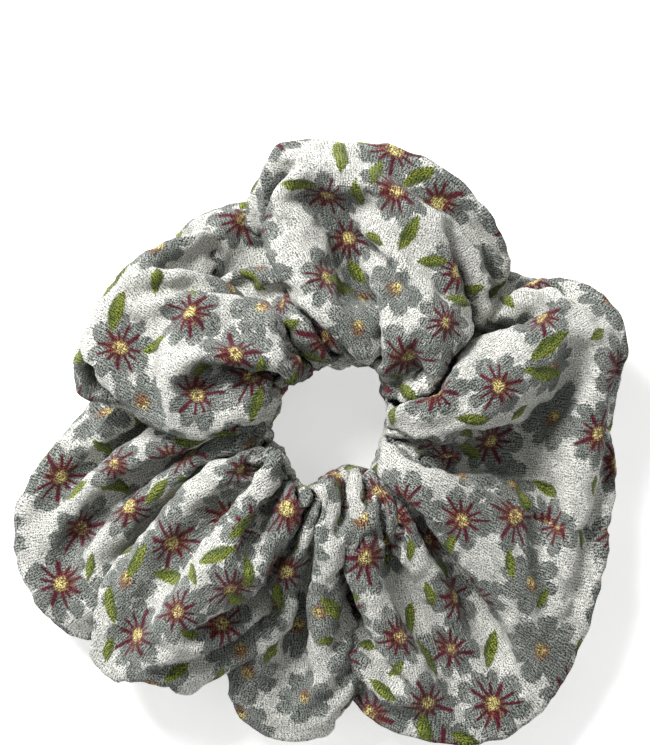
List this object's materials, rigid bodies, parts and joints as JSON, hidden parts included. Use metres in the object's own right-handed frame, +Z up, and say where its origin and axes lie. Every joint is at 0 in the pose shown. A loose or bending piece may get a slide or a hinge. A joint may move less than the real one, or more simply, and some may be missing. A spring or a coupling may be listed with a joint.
{
  "type": "scrunchie",
  "caption": "Gathered tube of flower-printed crepe closed into a ring round a loop of flat elastic, for tying hair back.",
  "frame": {"origin": "middle of the footprint, on the surface that the scrunchie lies on", "axes": "+Z up, along the hole that the hair goes through; +X and +Y in the plane that the ring lies in, with the closing stitch on the -X -Y side"},
  "size_m": [0.1229, 0.1199, 0.0373],
  "materials": {
    "printed_crepe": "crinkled crepe, off-white, printed with grey and burgundy flowers and olive leaves",
    "elastic_knit": "white braided flat elastic",
    "sewing_thread": "off-white spun polyester thread"
  },
  "bodies": {
    "cover": {"fabric_cover": "printed_crepe", "long_seam_needle_thread": "sewing_thread", "long_seam_bobbin_thread": "sewing_thread", "cross_seam_needle_thread": "sewing_thread", "cross_seam_bobbin_thread": "sewing_thread", "closing_stitch_thread": "sewing_thread"},
    "elastic": {"elastic_band": "elastic_knit", "elastic_join_needle_thread": "sewing_thread", "elastic_join_bobbin_thread": "sewing_thread"}
  },
  "joints": [
    {"name": "elastic_slip", "type": "hinge", "parent": "cover", "child": "elastic", "pos_m": [0.0012, 0.0036, 0.016], "axis": [0, 0, 1], "continuous": true}
  ]
}
